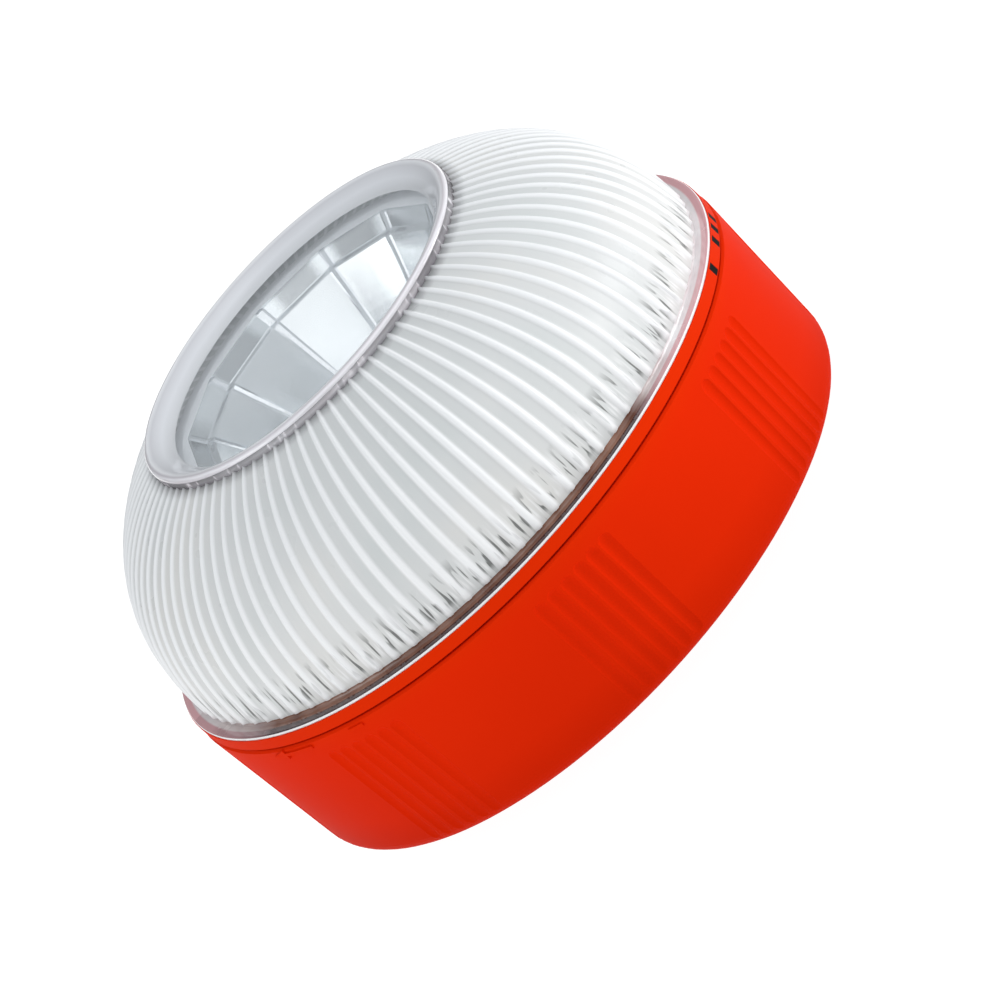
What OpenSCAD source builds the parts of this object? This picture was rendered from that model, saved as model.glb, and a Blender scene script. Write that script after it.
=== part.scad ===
// Magnetic LED safety flare: a fluted base with a twist-off lamp head,
// three AAA cells, a ring of amber LEDs and an upward torch under a ribbed lens.
// Origin: centre of the ground face of the magnetic foot. +Z up, -Y front.

/* [Overall] */
// Diameter of the base shell at its top edge
body_d = 80; // [76:1:100]
// Height from the ground face of the foot to the crest of the window rim
total_h = 50; // [46:1:62]
// Height of the magnetic foot under the shell
foot_h = 4.5; // [4:0.1:6]

/* [Base shell] */
// How much smaller the shell's bottom radius is than its top radius
shell_draft = 1.07; // [0.4:0.01:1.4]
// Radius of the rounded bottom edge
shell_round = 2.4; // [1:0.1:3]
// Wall thickness at the top of the shell
wall = 2.6; // [2.4:0.1:3.2]
// Thickness of the shell's floor
floor_t = 2; // [1.6:0.1:3]
// Number of grip patches round the shell
grip_n = 8; // [4:1:10]
// Flutes in each grip patch
flute_n = 6; // [3:1:8]
// Angle between neighbouring flutes
flute_pitch = 2.87; // [2.4:0.01:3.6]
// Depth of each flute
flute_depth = 0.35; // [0.2:0.05:0.6]

/* [Cells] */
// Diameter of one AAA cell
cell_d = 10.5; // [10:0.1:12.6]
// Length of one AAA cell with its positive button
cell_l = 44.5; // [40:0.1:46]
// Number of cells side by side
cell_n = 3; // [2:1:3]

/* [Head] */
// Height of the orange band on the head's rim ring
band_h = 1.5; // [1.2:0.1:3]
// Gap that shows as the split line between the shell and the head
split_gap = 0.3; // [0.3:0.05:0.6]
// Number of ribs round the lens
rib_n = 90; // [60:2:120]
// Height of each rib over the lens wall
rib_h = 0.3; // [0.2:0.05:0.5]
// Wall thickness of the lens
lens_t = 1.8; // [1.4:0.1:2.4]
// Outer radius of the window rim
window_r = 22.8; // [19:0.1:26]
// How far the window's disc sits below its rim
window_recess = 1.8; // [1:0.1:2.4]
// Number of amber LEDs
led_n = 18; // [12:1:24]
// Turn between locked and free
twist_range = 30; // [26:1:34]
// Number of bayonet lugs
lug_n = 4; // [3:1:4]

/* [Button and foot] */
// Radius of the power button
button_r = 8.3; // [6:0.1:9.9]
// Travel of the power button
button_travel = 1; // [0.5:0.1:1.5]
// Outer radius of the magnetic foot
foot_r = 26; // [24:0.1:28]

/* [Hidden] */
$fn = 96;
eps = 0.01;

// clearances
slide_c = 0.1;
part_c = 0.3;
seat_c = 0.05;

// radii from the shell inwards
shell_r = body_d / 2;
base_r = shell_r - shell_draft;
shell_in_r = shell_r - wall;
lug_r = shell_in_r - part_c;
skirt_r = lug_r - 1.1;
ledge_r = skirt_r + part_c;
skirt_in_r = skirt_r - 1.3;
tray_r = ledge_r - 0.2;
deck_r = skirt_in_r - slide_c;
band_r = shell_r - 0.1;
flange_r = shell_r - 0.2;
lens_r = shell_r - 1.6;
spigot_r = skirt_r + 0.4;

// heights of the base, from the ground up
z_floor = foot_h + floor_t;
button_flange_t = 1;
z_switch = z_floor + seat_c + button_flange_t + button_travel + 0.2;
switch_h = 2.25;
z_switch_board = z_switch + switch_h;
board_t = 1;
z_tray = z_switch_board + board_t;
tray_t = 1.2;
z_cells = z_tray + tray_t + seat_c;
z_split = z_cells + cell_d + 0.75;

// heights of the head
z_band = z_split + split_gap;
z_web = z_split - 1.1;
z_flange = z_band + band_h;
flange_t = 0.4;
z_rib = z_flange + flange_t + 0.5;
z_deck = z_split + 0.5;
deck_t = 1.4;
z_board = z_deck + deck_t;
led_board_t = 1.6;
z_leds = z_board + led_board_t;

// bayonet
lug_h = 1.3;
z_lug = z_split - 4.9;
z_ledge = z_lug + lug_h + part_c;
ledge_h = 1.4;
lug_angle = twist_range - 6;
ledge_angle = lug_angle + 2;
lug_phase = 45;

// lens curve
curve_m = 1.547;
curve_n = 2.728;
z_curve = z_rib - 1.57;
crown_r = window_r - 5.2;
lens_top = total_h - 0.05;

// window
window_t = 1.2;
lip_w = 3;
window_seat = 1.7;
z_window = total_h - window_recess - window_t;

// cell bay
cell_pitch = cell_d + 0.5;
cell_z = z_cells + cell_d / 2;
contact_t = 0.4;
contact_gap = 1.45;
bay_x = cell_l / 2 + contact_gap + contact_t + 0.1;
bay_y = (cell_n - 1) / 2 * cell_pitch + cell_d / 2 + 0.25;
bay_wall = 1.2;
bay_h = cell_d - 1.6;

// head to base contacts
arc_r = skirt_in_r - 2.8;
arc_w = 2;
arc_t = 0.6;
shelf_in_r = arc_r - 2.4;
shelf_out_r = arc_r + 2.4;
shelf_from = -16;
shelf_angle = twist_range + 26;
z_arc_top = z_deck - 2;
z_shelf = z_arc_top - arc_t;

// screws
tray_screw_r = arc_r - 0.4;
tray_screw_angle = 60;
foot_screw_r = foot_r - 2.2;
deck_screw_r = deck_r - 1.9;
deck_tab = 4.6;
led_board_r = deck_screw_r - 2.4;
led_ring_r = led_board_r - 2;
switch_screw_x = 9;
wire_r = 0.6;
z_wire = z_switch_board - 1.2;

// reflector
refl_t = 1;
refl_flange_r = led_ring_r - 2;
z_refl_top = z_window - 0.4;
refl_r = window_r - lip_w - 0.5;
z_step = z_refl_top - 1.8;
torch_hole_r = 4;
refl_screw_r = refl_flange_r - 1.9;
waist_r = refl_r - 2.6;

// tall parts on the LED board stand between the reflector's bowl and its trumpet
coil_r = 3;
coil_at = torch_hole_r + refl_t + (waist_r - torch_hole_r - refl_t) * 0.78;
chip_at = (coil_at + 0.7) * cos(45);

// radius of the shell's outside at a height
function shell_out(z) = base_r + shell_draft * (z - foot_h) / (z_split - foot_h);

// points of an arc about (cr, cz)
function arc_pts(cr, cz, rad, a0, a1, steps) =
    [for (i = [0:steps]) let (a = a0 + (a1 - a0) * i / steps)
        [cr + rad * cos(a), cz + rad * sin(a)]];

// lens curve: s runs from 0 at the widest height to 1 at the crown
function curve_r(s, wide) = crown_r + (wide - crown_r) * pow(1 - pow(s, curve_n), 1 / curve_m);
function curve_z(s, top) = z_curve + (top - z_curve) * s;
function curve_s_at_z(z, top) = (z - z_curve) / (top - z_curve);
function curve_s_at_r(r, wide) =
    pow(1 - pow((r - crown_r) / (wide - crown_r), curve_m), 1 / curve_n);
function curve_pts(wide, top, from_z, to_r, steps) =
    let (s0 = curve_s_at_z(from_z, top), s1 = curve_s_at_r(to_r, wide))
    [for (i = [0:steps]) let (u = i / steps, s = s0 + (s1 - s0) * (1 - pow(1 - u, 1.7)))
        [curve_r(s, wide), curve_z(s, top)]];

function backwards(pts) = [for (i = [len(pts) - 1:-1:0]) pts[i]];

// a piece of ring between two radii, from one angle over a sweep
module ring_sector(r_in, r_out, h, from, sweep) {
    rotate([0, 0, from])
        rotate_extrude(angle = sweep)
            translate([r_in, 0])
                square([r_out - r_in, h]);
}

module ring(r_in, r_out, h) {
    rotate_extrude()
        translate([r_in, 0])
            square([r_out - r_in, h]);
}

// a machine screw: its head sits on z = 0 and its shank points down
module screw(head_r, head_h, shank_r, shank_l) {
    difference() {
        union() {
            cylinder(r = head_r, h = head_h);
            translate([0, 0, -shank_l])
                cylinder(r = shank_r, h = shank_l + eps);
        }
        for (a = [0, 90])
            rotate([0, 0, a])
                translate([-head_r * 0.6, -0.25, head_h - 0.6])
                    cube([head_r * 1.2, 0.5, 1]);
    }
}

// a wire along straight runs with rounded corners
module wire(points) {
    for (i = [0:len(points) - 2]) {
        run = points[i + 1] - points[i];
        translate(points[i])
            rotate([0, acos(run[2] / norm(run)), atan2(run[1], run[0])])
                cylinder(r = wire_r, h = norm(run), $fn = 24);
    }
    for (i = [1:1:len(points) - 2])
        translate(points[i])
            sphere(r = wire_r + 0.02, $fn = 24);
}

// one soft flute cut, leaning with the shell's draft
module flute() {
    cut_r = 1.3;
    lean = atan(shell_draft / (z_split - foot_h));
    z_low = foot_h + 1;
    flute_l = z_split - foot_h - 4.2;
    translate([shell_out(z_low) + cut_r - flute_depth, 0, z_low])
        rotate([0, lean, 0])
            rotate_extrude($fn = 64)
                polygon(concat([[0, 0], [cut_r, 0]],
                    [for (i = [0:5]) let (a = i * 18)
                        [cut_r * cos(a), flute_l + cut_r * sin(a)]]));
}

module turn_arrow() {
    mark_h = 0.3;
    z_mark = z_split - 0.75;
    for (span = [[-151, 7], [-135, 3]])
        translate([0, 0, z_mark - 0.2])
            ring_sector(shell_r - 1, shell_r + mark_h - 0.1, 0.4, span[0], span[1]);
    rotate([0, 0, -152.5])
        translate([shell_r - 1, 0, z_mark])
            rotate([90, 0, 90])
                linear_extrude(height = 1 + mark_h - 0.1)
                    polygon([[-1.1, 0], [1.1, -0.7], [1.1, 0.7]]);
}

module base_shell() {
    color("orangered")
    difference() {
        union() {
            difference() {
                union() {
                    rotate_extrude()
                        polygon(concat([[0, foot_h]],
                            arc_pts(base_r - shell_round, foot_h + shell_round, shell_round, -90, 0, 8),
                            [[shell_r, z_split - 0.25], [shell_r - 0.25, z_split], [0, z_split]]));
                    turn_arrow();
                }
                translate([0, 0, z_floor])
                    cylinder(r = shell_in_r, h = z_split);
                for (g = [0:grip_n - 1], k = [0:flute_n - 1])
                    rotate([0, 0, -90 + g * 360 / grip_n + (k - (flute_n - 1) / 2) * flute_pitch])
                        flute();
            }
            for (k = [0:lug_n - 1]) {
                centre = lug_phase + k * 360 / lug_n;
                translate([0, 0, z_ledge])
                    ring_sector(ledge_r, shell_in_r + 0.5, ledge_h,
                        centre - ledge_angle / 2, ledge_angle);
                translate([0, 0, z_lug])
                    ring_sector(ledge_r, shell_in_r + 0.5, z_ledge + ledge_h - z_lug,
                        centre - ledge_angle / 2 - 2, 2.5);
            }
            for (sx = [-1, 1], sy = [-1, 1])
                rotate([0, 0, sx * sy * tray_screw_angle + (sx < 0 ? 180 : 0)])
                    translate([tray_screw_r, 0, z_floor - eps])
                        cylinder(r = 3, h = z_tray - z_floor + eps);
        }
        translate([0, 0, foot_h - 1])
            cylinder(r = button_r + slide_c, h = floor_t + 2);
        for (a = [0:90:270])
            rotate([0, 0, a])
                translate([foot_screw_r, 0, foot_h - 1])
                    cylinder(r = 1.2, h = floor_t + 2, $fn = 32);
        for (sx = [-1, 1], sy = [-1, 1])
            rotate([0, 0, sx * sy * tray_screw_angle + (sx < 0 ? 180 : 0)])
                translate([tray_screw_r, 0, z_floor])
                    cylinder(r = 1.15, h = z_tray, $fn = 32);
    }
}

// foot
pad_t = 1.2;
pocket_in = button_r + 3.7;
pocket_out = foot_screw_r - 2.3;
module magnet_holder() {
    color("dimgray")
    difference() {
        translate([0, 0, pad_t])
            ring(button_r + 1.9, foot_r, foot_h - pad_t);
        translate([0, 0, pad_t - 1])
            ring(pocket_in, pocket_out, foot_h - pad_t - 0.2);
        for (a = [0:90:270])
            rotate([0, 0, a])
                translate([foot_screw_r, 0, pad_t + 0.6])
                    cylinder(r = 1.05, h = foot_h, $fn = 32);
    }
}

module ring_magnet() {
    color("silver")
    translate([0, 0, pad_t])
        ring(pocket_in + 0.2, pocket_out - 0.2, foot_h - pad_t - 1.25);
}

module rubber_pad() {
    edge = 0.4;
    color([0.1, 0.1, 0.11])
    rotate_extrude()
        polygon([[button_r + 1.9, pad_t], [button_r + 1.9, edge], [button_r + 1.9 + edge, 0],
            [foot_r - edge, 0], [foot_r, edge], [foot_r, pad_t]]);
}

module foot_screws() {
    color("silver")
    for (a = [0:90:270])
        rotate([0, 0, a])
            translate([foot_screw_r, 0, z_floor])
                screw(2, 1.2, 1, z_floor - pad_t - 0.8);
}

// power button and switch
module power_button() {
    z_face = 1;
    color("orangered")
    difference() {
        union() {
            translate([0, 0, z_face])
                cylinder(r = button_r, h = z_floor + seat_c + button_flange_t - z_face);
            translate([0, 0, z_floor + seat_c])
                cylinder(r = button_r + 2, h = button_flange_t);
        }
        translate([0, 0, z_face - 1]) {
            difference() {
                ring(3.2, 4, 1.3);
                translate([-1.4, 0, -1])
                    cube([2.8, 6, 4]);
            }
            translate([-0.4, 1.2, 0])
                cube([0.8, 3.4, 1.3]);
        }
    }
}

plunger_r = 1.75;
module switch_plunger() {
    z_tip = z_floor + seat_c + button_flange_t;
    color("black")
    translate([0, 0, z_tip])
        cylinder(r = plunger_r, h = z_switch - z_tip + 0.9, $fn = 48);
}

module switch_housing() {
    color([0.2, 0.2, 0.22])
    difference() {
        translate([-4, -4, z_switch])
            cube([8, 8, switch_h]);
        translate([0, 0, z_switch - 1])
            cylinder(r = plunger_r + slide_c, h = 1 + 1 + button_travel, $fn = 48);
    }
}

module switch_board() {
    color("darkgreen")
    difference() {
        translate([-12, -7, z_switch_board])
            cube([24, 14, board_t]);
        for (sx = [-1, 1])
            translate([sx * switch_screw_x, 0, z_switch_board - 1])
                cylinder(r = 0.9, h = board_t + 2, $fn = 32);
    }
}

module switch_screws() {
    color("silver")
    for (sx = [-1, 1])
        translate([sx * switch_screw_x, 0, z_switch_board])
            mirror([0, 0, 1])
                screw(1.6, 0.9, 0.8, board_t + tray_t - 0.2);
}

// battery tray
module contact_slot(x_side, y) {
    translate([x_side * (bay_x - contact_t / 2) - 0.4, y - 1.6, z_tray - 1])
        cube([0.8, 3.2, tray_t + 2]);
}

module battery_tray() {
    leg_t = 1.2;
    color([0.16, 0.16, 0.17])
    difference() {
        union() {
            translate([0, 0, z_tray])
                cylinder(r = tray_r, h = tray_t);
            translate([-bay_x - bay_wall, -bay_y - bay_wall, z_tray])
                cube([2 * (bay_x + bay_wall), 2 * (bay_y + bay_wall), tray_t + bay_h]);
            for (side = [0, 180])
                translate([0, 0, z_tray])
                    ring_sector(shelf_in_r, shelf_out_r, z_shelf - z_tray,
                        side + shelf_from, shelf_angle);
        }
        translate([-bay_x, -bay_y, z_tray + tray_t])
            cube([2 * bay_x, 2 * bay_y, bay_h + 1]);
        for (side = [0, 180]) {
            translate([0, 0, z_tray + tray_t])
                ring_sector(shelf_in_r + leg_t, shelf_out_r - leg_t,
                    z_shelf - z_tray - tray_t - leg_t, side + shelf_from + 3, shelf_angle - 10);
            rotate([0, 0, side])
                translate([arc_r, 0, z_tray - 1])
                    cylinder(r = wire_r + 0.2, h = z_shelf, $fn = 24);
        }
        contact_slot(1, -cell_pitch * (cell_n - 1) / 2);
        contact_slot(-1, cell_pitch * (cell_n - 1) / 2);
        for (sx = [-1, 1])
            translate([sx * switch_screw_x, 0, z_tray - 1])
                cylinder(r = 0.85, h = tray_t + 2, $fn = 32);
        for (sx = [-1, 1], sy = [-1, 1])
            rotate([0, 0, sx * sy * tray_screw_angle + (sx < 0 ? 180 : 0)])
                translate([tray_screw_r, 0, z_tray - 1])
                    cylinder(r = 1.3, h = tray_t + 2, $fn = 32);
    }
}

module tray_screws() {
    color("silver")
    for (sx = [-1, 1], sy = [-1, 1])
        rotate([0, 0, sx * sy * tray_screw_angle + (sx < 0 ? 180 : 0)])
            translate([tray_screw_r, 0, z_tray + tray_t])
                screw(2.2, 1.4, 1.1, z_tray + tray_t - z_floor - 0.8);
}

// y of cell i, and which way its positive button points
function cell_y(i) = (i - (cell_n - 1) / 2) * cell_pitch;
function cell_way(i) = i % 2 == 0 ? 1 : -1;

module battery_cells() {
    nub_l = 0.9;
    color("goldenrod")
    for (i = [0:cell_n - 1])
        translate([0, cell_y(i), cell_z])
            rotate([0, 90 * cell_way(i), 0])
                translate([0, 0, -cell_l / 2]) {
                    cylinder(r = cell_d / 2, h = cell_l - nub_l);
                    translate([0, 0, cell_l - nub_l - eps])
                        cylinder(r = 1.9, h = nub_l + eps);
                }
}

// a plate that bridges cells a to b at one end, with a pip at each positive button
module contact_plate(side, a, b, tab) {
    x_in = bay_x - 0.1 - contact_t;
    translate([side < 0 ? -x_in - contact_t : x_in, cell_y(a) - 3.5, z_cells + 0.5])
        cube([contact_t, cell_y(b) - cell_y(a) + 7, bay_h - 1]);
    for (i = [a:b])
        if (cell_way(i) == side)
            translate([side * (cell_l / 2), cell_y(i), cell_z])
                rotate([0, 90 * side, 0])
                    cylinder(r = 2.4, h = contact_gap + eps);
    if (tab)
        translate([side < 0 ? -x_in - contact_t : x_in, cell_y(a) - 1.2, z_tray - 0.6])
            cube([contact_t, 2.4, z_cells + 1.5 - z_tray]);
}

module cell_contacts() {
    color("silver") {
        contact_plate(1, 0, 0, true);
        contact_plate(-1, cell_n - 1, cell_n - 1, true);
        contact_plate(-1, 0, 1, false);
        if (cell_n > 2)
            contact_plate(1, 1, 2, false);
    }
}

module cell_springs() {
    spring_wire = 0.36;
    color("silver")
    for (i = [0:cell_n - 1])
        translate([-cell_way(i) * (cell_l / 2), cell_y(i), cell_z])
            rotate([0, -90 * cell_way(i), 0])
                for (turn = [[3.4, 1.09], [3, 0.63], [2.6, 0.37]])
                    translate([0, 0, turn[1]])
                        rotate_extrude()
                            translate([turn[0], 0])
                                circle(r = spring_wire, $fn = 16);
}

module contact_arc(side) {
    translate([0, 0, z_shelf])
        ring_sector(arc_r - arc_w / 2, arc_r + arc_w / 2, arc_t,
            side + shelf_from + 5, shelf_angle - 10);
}

module contact_arc_positive() {
    color("gold") contact_arc(0);
}

module contact_arc_negative() {
    color("gold") contact_arc(180);
}

module lead_battery() {
    x_tab = bay_x - 0.1 - contact_t / 2;
    color("red")
    wire([[x_tab, cell_y(0), z_tray - 0.65], [x_tab, cell_y(0), z_wire],
        [10.5, -5, z_wire], [10.5, -5, z_switch_board - 0.05]]);
}

module lead_switched() {
    color("yellow")
    wire([[10.5, 5, z_switch_board - 0.05], [10.5, 5, z_wire],
        [arc_r, 0, z_wire], [arc_r, 0, z_shelf - 0.05]]);
}

module lead_negative() {
    x_tab = bay_x - 0.1 - contact_t / 2;
    color([0.1, 0.1, 0.1])
    wire([[-x_tab, cell_y(cell_n - 1), z_tray - 0.65], [-x_tab, cell_y(cell_n - 1), z_wire],
        [-arc_r, 0, z_wire], [-arc_r, 0, z_shelf - 0.05]]);
}

// head
mark_w = 1.25;
mark_d = 0.5;
mark_angles = [-30.5, -22.3, -18, -14];
gasket_in = lens_r - 0.2;
gasket_out = band_r - 1;
seal_in = shell_in_r + 0.3;
seal_out = shell_r - 0.8;
module index_pockets(c) {
    for (a = mark_angles)
        rotate([0, 0, a])
            translate([band_r - mark_d - c, -mark_w / 2 - c, z_band + 0.1 - c])
                cube([mark_d + c * 40, mark_w + 2 * c, band_h - 0.3 + 2 * c]);
}

module rim_ring() {
    tab_h = 1.2;
    color("orangered")
    difference() {
        union() {
            rotate_extrude()
                polygon([[skirt_in_r, z_lug], [skirt_r, z_lug], [skirt_r, z_web], [lug_r, z_web],
                    [lug_r, z_band], [band_r, z_band], [band_r, z_flange],
                    [spigot_r + slide_c, z_flange], [spigot_r + slide_c, z_deck + 0.2],
                    [skirt_in_r, z_deck + 0.2]]);
            for (k = [0:lug_n - 1])
                translate([0, 0, z_lug])
                    ring_sector(skirt_r - 0.5, lug_r, lug_h,
                        lug_phase + k * 360 / lug_n - lug_angle / 2, lug_angle);
            for (k = [0:3])
                rotate([0, 0, 45 + k * 90])
                    translate([0, 0, z_deck - tab_h])
                        ring_sector(skirt_in_r - deck_tab, skirt_in_r + 0.5, tab_h, -7, 14);
        }
        translate([0, 0, z_flange - 0.7])
            ring(gasket_in, gasket_out, 2);
        translate([0, 0, z_band - 1])
            ring(seal_in, seal_out, 1.2);
        index_pockets(0.02);
        for (k = [0:3])
            rotate([0, 0, 45 + k * 90])
                translate([deck_screw_r, 0, z_deck - tab_h - 1])
                    cylinder(r = 0.95, h = 4, $fn = 32);
    }
}

module index_marks() {
    color("black")
    for (a = mark_angles)
        rotate([0, 0, a])
            translate([band_r - mark_d, -mark_w / 2, z_band + 0.1])
                cube([mark_d - 0.02, mark_w, band_h - 0.3]);
}

module rim_gasket() {
    color([0.08, 0.08, 0.08])
    translate([0, 0, z_split + seat_c])
        ring(seal_in + 0.05, seal_out - 0.05, split_gap + 0.2 - seat_c);
}

module lens_gasket() {
    color([0.08, 0.08, 0.08])
    translate([0, 0, z_flange - 0.7])
        ring(gasket_in + 0.05, gasket_out - 0.05, 0.7);
}

module lens_wall() {
    inner_wide = lens_r - rib_h - lens_t;
    inner_top = lens_top - rib_h - lens_t;
    z_seat = z_window - 0.1;
    outer = curve_pts(lens_r - rib_h, lens_top - rib_h, z_rib, window_r + 0.05, 14);
    inner = curve_pts(inner_wide, inner_top, z_rib + 0.6, window_r + 0.6, 14);
    rotate_extrude()
        polygon(concat(
            [[spigot_r, z_deck + 0.25], [spigot_r, z_flange], [flange_r, z_flange],
                [flange_r, z_flange + flange_t - 0.25], [flange_r - 0.25, z_flange + flange_t],
                [lens_r - rib_h - 0.1, z_flange + flange_t]],
            outer,
            [[window_r + 0.05, z_seat], [window_r - window_seat, z_seat],
                [window_r - window_seat, z_seat - 0.8], [window_r + 0.2, z_seat - 0.8]],
            backwards(inner),
            [[spigot_r - 1.2, z_flange + 0.4], [spigot_r - 1.2, z_deck + 0.25]]));
}

module lens_rib(sweep) {
    under = 0.25;
    rotate([0, 0, -sweep / 2])
        rotate_extrude(angle = sweep)
            polygon(concat(
                curve_pts(lens_r, lens_top, z_rib + 0.1, window_r + 0.4, 8),
                backwards(curve_pts(lens_r - rib_h - under, lens_top - rib_h - under,
                    z_rib + 0.1, window_r + 0.4, 8))));
}

module lens() {
    color([0.86, 0.88, 0.88, 0.5]) {
        lens_wall();
        for (k = [0:rib_n - 1])
            rotate([0, 0, k * 360 / rib_n])
                lens_rib(120 / rib_n);
    }
}

module window() {
    crest_r = 0.6;
    lip_pts = [for (i = [0:7]) let (a = i * 15)
        [window_r - crest_r + crest_r * cos(a), total_h - crest_r + crest_r * sin(a)]];
    color([0.8, 0.85, 0.9, 0.5])
    rotate_extrude()
        polygon(concat([[0, z_window], [window_r, z_window]], lip_pts,
            [[window_r - lip_w, z_window + window_t + 0.2],
                [window_r - lip_w - 0.3, z_window + window_t], [0, z_window + window_t]]));
}

module led_deck() {
    color("white")
    difference() {
        translate([0, 0, z_deck])
            cylinder(r = deck_r, h = deck_t);
        for (k = [0:3])
            rotate([0, 0, 45 + k * 90])
                translate([deck_screw_r, 0, z_deck - 1])
                    cylinder(r = 1.1, h = deck_t + 2, $fn = 32);
        for (side = [0, 180])
            rotate([0, 0, side])
                translate([arc_r, 0, z_deck - 1])
                    cylinder(r = 1.05, h = deck_t + 2, $fn = 32);
        for (k = [0:2])
            rotate([0, 0, 90 + k * 120])
                translate([refl_screw_r, 0, z_deck - 1])
                    cylinder(r = 0.95, h = deck_t + 2, $fn = 32);
    }
}

module deck_screws() {
    color("silver")
    for (k = [0:3])
        rotate([0, 0, 45 + k * 90])
            translate([deck_screw_r, 0, z_board])
                screw(1.8, 1.1, 0.9, deck_t + 1);
}

module contact_pins() {
    color("gold")
    for (side = [0, 180])
        rotate([0, 0, side])
            translate([arc_r, 0, z_arc_top + 0.15]) {
                cylinder(r = 0.6, h = 1, $fn = 32);
                translate([0, 0, 0.6])
                    cylinder(r = 1, h = z_board - z_arc_top + 0.15, $fn = 32);
            }
}

module led_board() {
    color("whitesmoke")
    difference() {
        translate([0, 0, z_board])
            cylinder(r = led_board_r, h = led_board_t);
        for (side = [0, 180])
            rotate([0, 0, side])
                translate([arc_r, 0, z_board - 1])
                    cylinder(r = 1.3, h = led_board_t + 2, $fn = 32);
        for (k = [0:2])
            rotate([0, 0, 90 + k * 120])
                translate([refl_screw_r, 0, z_board - 1])
                    cylinder(r = 1.05, h = led_board_t + 2, $fn = 32);
    }
}

module amber_leds() {
    color("khaki")
    for (k = [0:led_n - 1])
        rotate([0, 0, (k + 0.5) * 360 / led_n])
            translate([led_ring_r, 0, z_leds])
                difference() {
                    translate([-1.4, -1.75, 0])
                        cube([2.8, 3.5, 1.4]);
                    translate([0, 0, 1.1])
                        cylinder(r1 = 0.9, r2 = 1.2, h = 0.4, $fn = 32);
                }
}

module led_resistors() {
    color([0.1, 0.1, 0.1])
    for (k = [0:led_n - 1])
        if (k % 3 != 1)
            rotate([0, 0, k * 360 / led_n + 3])
                translate([led_ring_r - 0.6, -0.6, z_leds])
                    cube([2, 1.2, 0.6]);
}

module driver_chip() {
    color("black")
    translate([-chip_at, -chip_at, z_leds]) {
        translate([-2.5, -2, 0.1])
            cube([5, 4, 1.5]);
        for (k = [-1.5:1:1.5], side = [-1, 1])
            translate([k * 1.2 - 0.2, side * 2.4 - 0.5, 0])
                cube([0.4, 1, 0.3]);
    }
}

module inductor() {
    color("dimgray")
    rotate([0, 0, -45])
        translate([coil_at, 0, z_leds])
            cylinder(r = coil_r, h = 2.6, $fn = 48);
}

module capacitors() {
    color("tan")
    for (k = [0:3])
        rotate([0, 0, 62 + k * 20])
            translate([17.5, -0.8, z_leds])
                cube([1, 1.6, 0.8]);
}

// a bowl for the torch with an outer trumpet that throws the amber light sideways
module reflector() {
    z_foot = z_leds;
    z_waist = z_foot + (z_refl_top - z_foot) * 0.5;
    color("silver")
    difference() {
        rotate_extrude()
            polygon(concat(
                [[torch_hole_r, z_foot + 1.2], [torch_hole_r + refl_t, z_foot + 1.2]],
                [for (i = [1:6]) let (u = i / 6)
                    [torch_hole_r + refl_t + (waist_r - refl_t * 1.2 - torch_hole_r) * pow(u, 0.6),
                        z_foot + 1.2 + (z_waist + 2 - z_foot - 1.2) * u]],
                backwards([for (i = [0:8]) let (a = i * 90 / 8)
                    [refl_flange_r - 3.6 - (refl_flange_r - 3.6 - waist_r - refl_t) * sin(a) - refl_t,
                        z_waist - (z_waist - z_foot - 0.8) * cos(a)]]),
                [[refl_flange_r - 4.6, z_foot], [refl_flange_r, z_foot],
                    [refl_flange_r, z_foot + 0.8], [refl_flange_r - 3.6, z_foot + 0.8]],
                [for (i = [1:8]) let (a = i * 90 / 8)
                    [refl_flange_r - 3.6 - (refl_flange_r - 3.6 - waist_r - refl_t) * sin(a),
                        z_waist + 0.9 - (z_waist - z_foot - 0.1) * cos(a)]],
                [[refl_r + refl_t, z_refl_top - 0.4], [refl_r + refl_t, z_refl_top],
                    [refl_r, z_refl_top], [refl_r - 1.1, z_step], [refl_r - 1.9, z_step - 0.2]],
                backwards([for (i = [0:9]) let (u = i / 10)
                    [torch_hole_r + (refl_r - 1.9 - torch_hole_r) * pow(u, 0.6),
                        z_foot + 1.2 + (z_step - z_foot - 1.4) * u]])));
        for (k = [0:2])
            rotate([0, 0, 90 + k * 120])
                translate([refl_screw_r, 0, z_foot - 1])
                    cylinder(r = 1.05, h = 3, $fn = 32);
    }
}

module reflector_screws() {
    color("silver")
    for (k = [0:2])
        rotate([0, 0, 90 + k * 120])
            translate([refl_screw_r, 0, z_leds + 0.8])
                screw(1.6, 1, 0.9, 0.8 + led_board_t + deck_t - 0.4);
}

module torch_led() {
    color("lightyellow")
    translate([0, 0, z_leds]) {
        translate([-1.75, -1.75, 0])
            cube([3.5, 3.5, 0.8]);
        difference() {
            translate([0, 0, 0.7])
                sphere(r = 1.4, $fn = 48);
            translate([-3, -3, -5])
                cube([6, 6, 5]);
        }
    }
}

base_shell();
magnet_holder();
ring_magnet();
rubber_pad();
foot_screws();
power_button();
switch_plunger();
switch_housing();
switch_board();
switch_screws();
battery_tray();
tray_screws();
battery_cells();
cell_contacts();
cell_springs();
contact_arc_positive();
contact_arc_negative();
lead_battery();
lead_switched();
lead_negative();
rim_ring();
index_marks();
rim_gasket();
lens_gasket();
lens();
window();
led_deck();
deck_screws();
contact_pins();
led_board();
amber_leds();
led_resistors();
driver_chip();
inductor();
capacitors();
reflector();
reflector_screws();
torch_led();
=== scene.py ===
import math

import bpy
from mathutils import Matrix, Vector


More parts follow.
